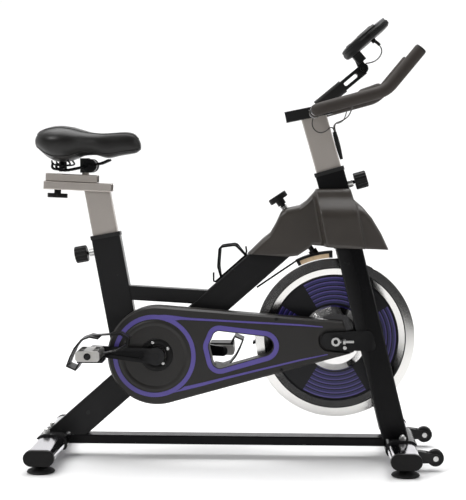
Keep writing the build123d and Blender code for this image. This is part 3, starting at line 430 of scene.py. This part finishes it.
# ------------------------------------------------------------------ cords
CABLE_DIAMETER = 0.0032
LOOP_CABLE = [(265.2, -3, 904.1), (262.2, -3.6, 914.6), (254, -20, 917), (241, -34, 904), (223, -37, 900),
              (209, -36, 909), (202, -33, 925), (206, -30, 941.0)]
RIGHT_CABLE = [(268.2, 0, 905), (264.9, -1, 917), (268, -32, 928), (276, -78, 929), (288, -128, 934),
               (300, -174, 944), (306, -196, 965.4)]
LEFT_CABLE = [(265.2, 3, 904.1), (262.0, 3.4, 916), (268, 34, 928), (276, 80, 929), (288, 128, 934),
              (300, 174, 944), (306, 196, 965.4)]
CONSOLE_LEAD = [(349.5, -6, 1090), (364, -8, 1091), (382, -8, 1100), (393, -6, 1117), (392, -3, 1134),
                (380, 0, 1146.5)]


def make_cord(name, route, body):
    points = [Vector(p) * MM for p in route]
    piece = tube(name + "_line", points, CABLE_DIAMETER / 2, SHEATH, body)
    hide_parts(name)


# ------------------------------------------------------------------ belt guard
GUARD_FACE = -0.090
RING_CENTRE = (-224.0, 294.0)
RING_OUTER, RING_INNER, RING_STEPS = 0.113, 0.101, 180
CRANK_COVER = (-218.0, 297.0)
WINDOW = [(-47, 345, 18), (-45, 283, 21), (-52, 320, 23), (74, 323, 26)]
UPPER_LINE = [(-222, 406), (-194, 407.2), (-167, 404.3), (-128, 399.4), (-24, 393.3), (172, 383.5),
              (234, 377.3), (234, 375.2), (172, 378.9), (-24, 388.6), (-128, 393.0), (-152, 393.8),
              (-190, 388)]
LOWER_LINE = [(-150, 204), (-142, 210.1), (-94, 221.5), (-24, 239.3), (63, 260.6), (173, 287.7), (248, 302.7),
              (248, 300.3), (173, 283.3), (63, 255.6), (-24, 232.9), (-94, 212.5), (-129, 203.6),
              (-178, 192.0)]
COVER_SCREWS = [(-228, 331), (-187, 315), (-200, 275)]
GUARD_SCREWS = [(108.5, 397), (122.5, 258.5)]


def ring_sector(centre, inner, outer, start, end, steps=90):
    """An arc band's outline in metres; the angles are in degrees, the centre and radii in millimetres."""
    angles = [math.radians(start + (end - start) * i / steps) for i in range(steps + 1)]
    outside = [(centre[0] + outer * math.cos(a), centre[1] + outer * math.sin(a)) for a in angles]
    inside = [(centre[0] + inner * math.cos(a), centre[1] + inner * math.sin(a)) for a in reversed(angles)]
    return [(x * MM, z * MM) for x, z in outside + inside]


def metres(points):
    return [(x * MM, z * MM) for x, z in points]


def make_guard_trim():
    trim = (GUARD_FACE - 0.0009, GUARD_FACE + 0.0004)
    ring_centre = metres([RING_CENTRE])[0]
    prism("guard_ring", circle_points(*ring_centre, RING_OUTER, RING_STEPS), *trim, PURPLE, "root",
          "purple_trim", bevel=0.0004, holes=[circle_points(*ring_centre, RING_INNER, RING_STEPS)])
    prism("guard_line_upper", metres(UPPER_LINE), trim[0] + 0.0001, trim[1], PURPLE, "root", "purple_trim")
    prism("guard_line_lower", metres(LOWER_LINE), trim[0] + 0.0001, trim[1], PURPLE, "root", "purple_trim")
    prism("guard_window_trim", hull(WINDOW, 15.5), *trim, PURPLE, "root", "purple_trim", bevel=0.0004,
          holes=[hull(WINDOW, 2.5)])
    lathe("guard_dish", [(82, -89.8), (86, -91.6), (91, -92.4), (95.5, -91.8), (98, -89.8)],
          (RING_CENTRE[0] * MM, 0, RING_CENTRE[1] * MM), GUARD, "root", sharp=60)
    lathe("crank_cover", [(28, -89.5), (28, -93.0), (31, -94.0), (40, -94.0), (43.5, -93.2), (45, -91.4),
                          (45, -89.5)],
          (CRANK_COVER[0] * MM, 0, CRANK_COVER[1] * MM), PLASTIC, "root", bevel=0.0004)
    for i, (x, z) in enumerate(COVER_SCREWS):
        screw(f"cover_screw_{i}", (x, -93.8, z), 4.6, 2.4, STEEL)
    for i, (x, z) in enumerate(GUARD_SCREWS):
        screw(f"guard_screw_{i}", (x, -89.4, z), 5.0, 1.8, PLASTIC)


def screw(name, place, radius, height, mat, body="root"):
    """A domed screw head with a sunk round socket, facing the right side of the bike, in millimetres."""
    x, y, z = place
    dome = [(0.01, 0), (radius, 0), (radius, -height * 0.45), (radius * 0.86, -height * 0.8),
            (radius * 0.6, -height), (radius * 0.42, -height), (radius * 0.38, -height * 0.35),
            (0.01, -height * 0.35)]
    return lathe(name, [(r, y + d) for r, d in dome], (x * MM, 0, z * MM), mat, body, steps=24,
                 sharp=40)


# ------------------------------------------------------------------ flywheel
BAND_RADII = (168, 155.5, 143, 130.5, 118, 105.5)
BAND_SECTORS = ((-31, 31), (59, 118), (149, 211), (239, 301))


def make_flywheel():
    web = lathe("flywheel_web", [(20, -6), (171, -6), (173.5, -8.8), (176, -9.2), (176, 9.2), (173.5, 8.8),
                                 (171, 6), (20, 6)], WHEEL, IRON, "flywheel_body", steps=160)
    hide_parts("flywheel")
    lathe("flywheel_bevel", [(175.5, -9.0), (192.5, -13.4), (193, -11), (193, 11), (192.5, 13.4),
                             (175.5, 9.0)], WHEEL, RIM, "flywheel_body", steps=160)
    lathe("flywheel_groove", [(192.5, -12.2), (196, -12.2), (196, 12.2), (192.5, 12.2)], WHEEL, IRON,
          "flywheel_body", steps=160)
    lathe("flywheel_rim", [(195.5, -14), (216, -11.2), (219, -10.2), (220, -8.6), (220, 8.6), (219, 10.2),
                           (216, 11.2), (195.5, 14)], WHEEL, RIM, "flywheel_body", steps=160)
    arc_bands("wheel_bands", [(r - 8.5, r - 2.4) for r in BAND_RADII], 6.3, NAVY)
    arc_bands("wheel_lines", [(r - 2.4, r + 0.8) for r in BAND_RADII], 6.5, PURPLE)


def arc_bands(name, bands, depth, mat):
    """Printed arcs on both faces of the flywheel, all in one piece."""
    verts, faces = [], []
    for side in (-1, 1):
        for low, high in bands:
            for start, end in BAND_SECTORS:
                steps = 28
                base = len(verts)
                for i in range(steps + 1):
                    turn = math.radians(start + (end - start) * i / steps)
                    for radius, y in ((low, 5.5), (low, depth), (high, depth), (high, 5.5)):
                        verts.append((WHEEL.x + radius * MM * math.sin(turn), side * y * MM,
                                      WHEEL.z + radius * MM * math.cos(turn)))
                for i in range(steps):
                    a, b = base + 4 * i, base + 4 * i + 4
                    for j in range(4):
                        k = (j + 1) % 4
                        faces.append((a + j, b + j, b + k, a + k))
                faces.append(tuple(base + j for j in range(4)))
                faces.append(tuple(base + 4 * steps + j for j in range(4)))
    return finish_mesh(name, verts, faces, mat, "flywheel_body")


def make_felt():
    arc = ring_sector((WHEEL.x / MM, WHEEL.z / MM), 222.7, 234.5, 94.2, 114.6, steps=24)
    prism("brake_felt", arc, -0.0138, 0.0138, FELT, "brake_plunger", "felt", bevel=0.0006)


# ------------------------------------------------------------------ saddle
SADDLE_TOP = [(-557, 886), (-552, 898), (-545, 906), (-533, 913), (-507, 921), (-479, 923), (-458, 920),
              (-436, 913), (-412, 906), (-380, 903), (-312, 906), (-291, 903), (-277, 894), (-269, 876),
              (-268, 862)]
SADDLE_UNDER = [(-557, 864), (-552, 858), (-541, 849), (-527, 836), (-505, 822), (-474, 821),
                (-449, 827), (-429, 839), (-386, 841), (-372, 833), (-354, 831), (-324, 839),
                (-281, 845), (-274, 849), (-268, 858)]
SADDLE_WIDTH = [(-556, 34), (-549, 60), (-535, 80), (-512, 94), (-488, 98), (-468, 96), (-448, 90),
                (-430, 79), (-412, 64), (-396, 51), (-378, 41), (-358, 35), (-335, 33), (-310, 31),
                (-290, 27), (-277, 20), (-268, 11)]
SADDLE_GROOVE = [(-556, 0), (-530, 4), (-490, 11), (-420, 9), (-360, 5), (-320, 2), (-290, 0), (-268, 0)]


def along_table(table, x):
    for (x0, v0), (x1, v1) in zip(table, table[1:]):
        if x <= x1:
            return v0 + (v1 - v0) * max(0.0, (x - x0) / (x1 - x0))
    return table[-1][1]


def smooth_table(table, x, reach=7.0):
    return sum(along_table(table, x + d * reach / 3) for d in range(-3, 4)) / 7


def saddle_point(x, turn):
    """A point on the saddle's skin: turn runs round the section from the right flank over the top."""
    high, low = smooth_table(SADDLE_TOP, x, 5), smooth_table(SADDLE_UNDER, x, 5)
    wide = smooth_table(SADDLE_WIDTH, x, 6)
    c, s = math.cos(turn), math.sin(turn)
    y = wide * math.copysign(abs(c) ** 0.72, c)
    middle = low + (high - low) * 0.56
    if s > 0:
        z = middle + (high - middle) * s ** 0.80
        z -= along_table(SADDLE_GROOVE, x) * math.exp(-((y / 15.0) ** 2))
        z -= max(0.0, (abs(y) / max(wide, 1)) - 0.55) * 0.10 * (high - low)
    else:
        z = middle - (middle - low) * abs(s) ** 0.66
        y *= 1 - 0.22 * abs(s) ** 1.5
    return Vector((x, -y, z)) * MM


def make_saddle():
    stations = [-556, -554, -550, -544, -536, -526, -514, -500, -486, -472, -458, -444, -430, -417, -404,
                -391, -378, -364, -350, -334, -318, -304, -292, -282, -275, -270.5, -268]
    around = 40
    verts, faces = [], []
    for x in stations:
        verts += [saddle_point(x, 2 * math.pi * i / around) for i in range(around)]
    for s in range(len(stations) - 1):
        for i in range(around):
            j = (i + 1) % around
            faces.append((s * around + i, s * around + j, (s + 1) * around + j, (s + 1) * around + i))
    faces.append(tuple(range(around)))
    last = (len(stations) - 1) * around
    faces.append(tuple(range(last, last + around)))
    skin = finish_mesh("saddle_skin", verts, faces, VINYL, "saddle_body", levels=1, sharp=180)
    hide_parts("saddle")
    for side, name in ((1, "right"), (-1, "left")):
        for label, turn in (("hem", -38), ("top", 56)):
            angle = math.radians(turn if side == 1 else 180 - turn)
            line = [saddle_point(x, angle) for x in stations[2:-2]]
            radius = 0.0018 if label == "hem" else 0.0011
            tube(f"saddle_{label}_{name}", line, radius, VINYL, "saddle_body")


RAIL_LOOP = [(-510, 826), (-512, 818), (-494, 811), (-462, 812), (-458, 818), (-471, 830)]


def make_saddle_rails():
    for side, name in ((-1, "right"), (1, "left")):
        tube(f"rail_loop_{name}", [Vector((x, side * 35, z)) * MM for x, z in RAIL_LOOP], 0.0024, POWDER,
             "saddle_body")


# ------------------------------------------------------------------ pedals and axle ends
def make_pedal_bosses():
    """The bearing boss in the outer end of each pedal: a bright ring round a dark cap."""
    for name, centre, side in (("right", RIGHT_PEDAL, -1), ("left", LEFT_PEDAL, 1)):
        for label, profile, look, slot in (
                ("ring", [(9.6, 213), (9.6, 217.4), (11.6, 217.4), (12.4, 216), (12.4, 213)], ALUMINIUM,
                 "pedal_body"),
                ("cap", [(0.01, 213), (9.5, 213), (9.5, 216.2), (7, 217.2), (0.01, 217.6)], PLASTIC,
                 "black_plastic")):
            lathe(f"pedal_{label}_{name}", [(r, side * y) for r, y in profile], centre, look, f"{name}_pedal",
                  steps=40, sharp=40)


STRAP_PAD = [(58, 51.5), (84, 53.4), (99.4, 43.4), (97.6, 28), (84, 19.8), (86, 13), (104, 22), (108, 46),
             (86, 60), (58, 58)]


def make_strap_pads():
    """The wide padded part of each toe strap."""
    for name, centre, side in (("right", RIGHT_PEDAL, -1), ("left", LEFT_PEDAL, 1)):
        outline = [(centre.x + x * MM, centre.z + z * MM) for x, z in STRAP_PAD]
        near, far = sorted((side * 0.150, side * 0.186))
        prism(f"strap_pad_{name}", outline, near, far, PLASTIC, f"{name}_pedal", "black_plastic", bevel=0.001)


# ------------------------------------------------------------------ handlebar
BAR_POINTS = [(481, -200, 1114), (392, -200, 1006), (211, -200, 957), (211, 200, 957), (392, 200, 1006),
              (481, 200, 1114)]
BAR_BENDS = [70, 32, 32, 70]
CROSS_POINTS = [(312, -190, 985), (332, -160, 1003), (378, -110, 1021), (378, 110, 1021), (332, 160, 1003),
                (312, 190, 985)]
CROSS_BENDS = [20, 30, 30, 20]
SIDE_GRIP = 0.330                   # length of each foam grip from the bar's end
GRIP_CAP = [(0.01, 0), (15.6, 0), (15.6, 3.2), (14, 5.2), (9, 6.2), (0.01, 6.4)]


def bent_route(points, bends, step=6):
    """Points along straight runs joined by arcs of the given radii, in metres."""
    points = [Vector(p) for p in points]
    route = [points[0]]
    for before, corner, after, radius in zip(points, points[1:], points[2:], bends):
        back, on = (before - corner).normalized(), (after - corner).normalized()
        half = back.angle(on) / 2
        reach = radius / math.tan(half)
        centre = corner + (back + on).normalized() * radius / math.sin(half)
        start, end = corner + back * reach, corner + on * reach
        for i in range(step + 1):
            share = i / step
            spoke = (start - centre).slerp(end - centre, share)
            route.append(centre + spoke.normalized() * radius)
    route.append(points[-1])
    return [p * MM for p in route]


def part_of_route(route, start, end):
    """The stretch of a route between two distances along it, in metres."""
    kept, travelled = [], 0.0
    for a, b in zip(route, route[1:]):
        run = (b - a).length
        if travelled <= start < travelled + run:
            kept.append(a.lerp(b, (start - travelled) / run))
        if start < travelled + run <= end:
            kept.append(b)
        if travelled <= end < travelled + run:
            kept.append(a.lerp(b, (end - travelled) / run))
        travelled += run
    return kept


def route_length(route):
    return sum((b - a).length for a, b in zip(route, route[1:]))


def make_handlebar():
    route = bent_route(BAR_POINTS, BAR_BENDS)
    total = route_length(route)
    core = tube("bar_tube", part_of_route(route, 0.004, total - 0.004), 0.0145, POWDER, "handlebar_body",
                smooth=False)
    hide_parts("handlebar")
    for name, start, end in (("grip_right", 0.003, SIDE_GRIP),
                             ("grip_left", total - SIDE_GRIP, total - 0.003)):
        tube(name, part_of_route(route, start, end), 0.0162, FOAM, "handlebar_body",
             smooth=False)
    for name, start, end in (("centre_grip_right", SIDE_GRIP + 0.05, total / 2 - 0.055),
                             ("centre_grip_left", total / 2 + 0.055, total - SIDE_GRIP - 0.05)):
        tube(name, part_of_route(route, start, end), 0.0160, FOAM, "handlebar_body",
             smooth=False)
    for name, point, after in (("right", route[0], route[1]), ("left", route[-1], route[-2])):
        out = (point - after).normalized()
        turned(f"grip_cap_{name}", point - out * 0.004, out, GRIP_CAP, PLASTIC, "handlebar_body")
    tube("cross_grip", bent_route(CROSS_POINTS, CROSS_BENDS), 0.0095, FOAM, "handlebar_body",
         smooth=False)


def turned(name, place, direction, profile, mat, body, steps=40, sharp=40.0):
    """A turned solid whose axis starts at place, in metres, and points along direction."""
    verts, faces = [], []
    count = len(profile)
    frame_turn = Vector(direction).to_track_quat("Z", "Y").to_matrix()
    for step in range(steps):
        turn = 2 * math.pi * step / steps
        for radius, height in profile:
            local = Vector((radius * math.cos(turn), radius * math.sin(turn), height)) * MM
            verts.append(Vector(place) + frame_turn @ local)
    for step in range(steps):
        after = (step + 1) % steps
        for i in range(count):
            j = (i + 1) % count
            faces.append((step * count + i, after * count + i, after * count + j, step * count + j))
    return finish_mesh(name, verts, faces, mat, body, sharp=sharp)


# ------------------------------------------------------------------ console
CONSOLE_ANGLE = math.radians(40.9)
CONSOLE_CENTRE = Vector((349.0, 0.0, 1155.0)) * MM
CONSOLE_ALONG = Vector((math.cos(CONSOLE_ANGLE), 0, math.sin(CONSOLE_ANGLE)))
CONSOLE_UP = Vector((-math.sin(CONSOLE_ANGLE), 0, math.cos(CONSOLE_ANGLE)))
SHELL_PROFILE = [(0.01, -12), (62, -12.8), (70, -11.5), (74.5, -8), (76, -2), (75.6, 3), (73.6, 7.4),
                 (71, 8.8), (0.01, 8.8)]
DISPLAY = [(-14, -31), (-17, -27), (-17, 27), (-14, 31), (24, 31), (30, 25), (32, 12), (32, -12), (30, -25),
           (24, -31)]
DOME_RADIUS = 73.6
DOME_START, DOME_END = -73.2, 36.0  # the dome's lower end and the step above it, along the face
RIB_COUNT, RIB_GAP = 132, (30, 102)  # ribs round the shell, and the numbers between which there are none


def console_place(along, across, above):
    return CONSOLE_CENTRE + CONSOLE_ALONG * along * MM + Vector((0, across * MM, 0)) + CONSOLE_UP * above * MM


def console_turned(name, profile, mat, steps=96, sharp=35.0):
    """A solid turned about the console's own axis, its heights measured from the middle of the shell."""
    return turned(name, CONSOLE_CENTRE, CONSOLE_UP, profile, mat, "console_body", steps=steps,
                  sharp=sharp)


def console_panel(name, outline, low, high, mat, bevel=0.0):
    """A flat panel on the console's face; the outline is (along, across) in millimetres."""
    count = len(outline)
    verts = [console_place(a, c, h) for h in (low, high) for a, c in outline]
    faces = [tuple(range(count)), tuple(range(count, 2 * count))]
    faces += [(i, (i + 1) % count, count + (i + 1) % count, count + i) for i in range(count)]
    return finish_mesh(name, verts, faces, mat, "console_body", bevel=bevel)


def make_console():
    shell = console_turned("console_shell", SHELL_PROFILE, PLASTIC, sharp=60)
    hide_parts("console")
    verts, faces = [], []
    for i in range(RIB_COUNT):
        if RIB_GAP[0] < i < RIB_GAP[1]:
            continue
        turn = 2 * math.pi * i / RIB_COUNT
        out = Vector((math.cos(turn), math.sin(turn)))
        side = Vector((-out.y, out.x))
        base = len(verts)
        for reach, height in ((74.6, -7.5), (76.7, -5.5), (76.7, 2.5), (74.2, 6.0)):
            for shift in (-0.7, 0.7):
                p = out * reach + side * shift
                verts.append(console_place(p.x, p.y, height))
        for j in range(3):
            a = base + 2 * j
            faces.append((a, a + 1, a + 3, a + 2))
    ribs = finish_mesh("console_ribs", verts, faces, PLASTIC, "console_body")
    solid = ribs.modifiers.new("thick", "SOLIDIFY")
    solid.thickness = 0.0006
    console_dome()
    console_panel("console_display", DISPLAY, 17.0, 20.2, SCREEN, bevel=0.0003)
    for i, (a, c, da, dc) in enumerate(((21, -14, 9, 11), (21, 14, 9, 11), (2, -16, 6, 9), (2, 16, 6, 9),
                                        (-12, 0, 3, 24))):
        box = [(a - da / 2, c - dc), (a + da / 2, c - dc), (a + da / 2, c + dc), (a - da / 2, c + dc)]
        console_panel(f"console_field_{i}", box, 20.1, 20.35, GREY_PLASTIC)
    turns = [math.radians(degrees) for degrees in range(-60, 61, 4)]
    brim = [(73.8 * math.cos(t), 73.8 * math.sin(t)) for t in turns]
    console_panel("console_brow", brim, 7.4, 13.4, GREY_PLASTIC, bevel=0.002)
    socket = [(8, -6), (20, -6), (20, 6), (8, 6)]
    console_panel("console_socket", socket, -22, -11, PLASTIC, bevel=0.0008)
    tube("lead_plug", [Vector(p) * MM for p in ((373, 0, 1150.5), (381, 0, 1147), (387, -1, 1139.5))], 0.0042,
         RUBBER, "console_body")


def console_dome():
    """The domed front, which ends in a step above the brim."""
    last, rows = 60, 36
    columns = [DOME_START + (DOME_END - DOME_START) * i / last for i in range(last + 1)]
    verts, faces = [], []
    for a in columns:
        reach = math.sqrt(DOME_RADIUS ** 2 - a * a)
        verts.append(console_place(a, -reach, 8.2))
        for r in range(rows + 1):
            c = reach * math.sin(math.pi * (r / rows - 0.5))
            share = math.hypot(a, c) / DOME_RADIUS
            verts.append(console_place(a, c, 19.8 - 3.4 * share ** 2 - 4.0 * share ** 16))
        verts.append(console_place(a, reach, 8.2))
    ring = rows + 3
    for i in range(len(columns) - 1):
        for r in range(ring):
            after = (r + 1) % ring
            faces.append((i * ring + r, (i + 1) * ring + r, (i + 1) * ring + after, i * ring + after))
    faces.append(tuple(range(ring)))
    faces.append(tuple(range(last * ring, (last + 1) * ring)))
    finish_mesh("console_dome", verts, faces, PLASTIC, "console_body", sharp=40)


# ------------------------------------------------------------------ cover over the fork crown
COVER_TOP = [(28, 571), (68, 610), (90, 628), (104, 652), (119, 684), (133, 695), (171, 703), (190, 717),
             (207, 736), (216, 748), (309, 749), (318, 720), (341, 700), (366, 670), (392, 627), (411, 586)]
COVER_UNDER = [(28, 570), (137, 562), (166, 566), (196, 586), (204, 595), (267, 590), (411, 585)]


COVER_NARROW, COVER_RIM, COVER_WIDE = 38, 46, 85.5  # half widths: along the beam, at the top, at the skirt


def soft_step(share):
    share = min(1.0, max(0.0, share))
    return share * share * (3 - 2 * share)


def cover_width(x, z):
    """Half the cover's width: narrow along the beam, wider over the crown, and in again at the nose."""
    step_x = 238 - (z - 600) * 0.197
    seam_x = 319 + (714 - z) * 0.213
    crown = COVER_RIM + (COVER_WIDE - COVER_RIM) * soft_step((742 - z) / 66)
    nose = min(1.0, max(0.0, (x - seam_x) / 5))
    return COVER_NARROW + (crown - COVER_NARROW) * soft_step((x - step_x + 7) / 14) - 8 * nose


def make_cover():
    last, rows = 190, 26
    columns = [28 + 383 * i / last for i in range(last + 1)]
    verts, faces = [], []
    for x in columns:
        high, low = along_table(COVER_TOP, x), along_table(COVER_UNDER, x)
        high = max(high, low + 0.5)
        for side in (-1, 1):
            for r in range(rows + 1):
                share = 1 - (1 - r / rows) ** 1.6
                z = low + (high - low) * share
                deep = min(1.0, (high - z) / 16)
                front = min(1.0, max(0.0, (416 - x) / 14))
                rounded = math.sqrt(max(0.0, 1 - (1 - deep) ** 2))
                wide = cover_width(x, z)
                y = wide - 15 + 15 * rounded
                y -= 3.5 * (1 - math.sqrt(front))
                verts.append((x * MM, side * y * MM, z * MM))
    ring = 2 * (rows + 1)
    for c in range(len(columns) - 1):
        for side in (0, 1):
            for r in range(rows):
                a = c * ring + side * (rows + 1) + r
                b = a + ring
                quad = (a, b, b + 1, a + 1)
                faces.append(quad if side else quad[::-1])
        a, b = c * ring + rows, c * ring + ring - 1
        faces.append((a, a + ring, b + ring, b))
    # The cover's lighter plastic carries a painted highlight of its upper slope.
    cover = finish_mesh("crown_cover", verts, faces, PAINTED_HIGHLIGHT_COVER, "root", sharp=50)
    wall = cover.modifiers.new("wall", "SOLIDIFY")
    wall.thickness = 0.0028
    wall.offset = -1
    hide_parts("shroud", "shroud_rear")


# ------------------------------------------------------------------ put it together
make_camera()
make_studio()
make_cord("loop_cable", LOOP_CABLE, "handlebar_body")
make_cord("sensor_cable_right", RIGHT_CABLE, "handlebar_body")
make_cord("sensor_cable_left", LEFT_CABLE, "handlebar_body")
make_cord("console_lead", CONSOLE_LEAD, "console_body")

for look, members in NODE_LOOKS.items():
    for member in members:
        dress_node(member, look)

make_guard_trim()
make_flywheel()
make_felt()
make_saddle()
make_saddle_rails()
make_pedal_bosses()
make_strap_pads()
make_handlebar()
make_console()
make_cover()
